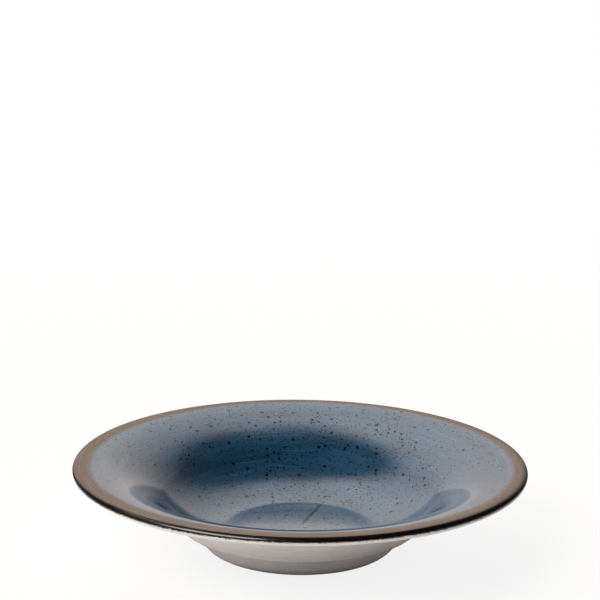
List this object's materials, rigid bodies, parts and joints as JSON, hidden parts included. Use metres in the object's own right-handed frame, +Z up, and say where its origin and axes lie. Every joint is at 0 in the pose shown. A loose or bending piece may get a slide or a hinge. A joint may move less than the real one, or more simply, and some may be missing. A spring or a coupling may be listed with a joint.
{
  "type": "rimmed soup plate",
  "caption": "Round stoneware soup plate with a wide rim that rolls into a deep well, and a turned foot ring, glazed blue with a taupe and black edge.",
  "frame": {"origin": "centre of the foot ring, on the plane that the plate stands on", "axes": "+Z up along the plate's axis; the plate is round, so +X and +Y lie anywhere across it"},
  "size_m": [0.23, 0.23, 0.0445],
  "materials": {
    "bare_clay": "matt bisque, wiped bare of glaze",
    "blue_glaze": "glossy speckled reactive glaze with turned brush lines",
    "taupe_glaze": "glossy, fine grained",
    "black_glaze": "glossy, brushed on by hand",
    "white_glaze": "glossy white"
  },
  "bodies": {
    "root": {"stoneware_body": "bare_clay", "blue_face_glaze": "blue_glaze", "taupe_rim_band": "taupe_glaze", "black_edge_line": "black_glaze", "white_underside_glaze": "white_glaze", "foot_recess_glaze": "white_glaze"}
  },
  "joints": []
}
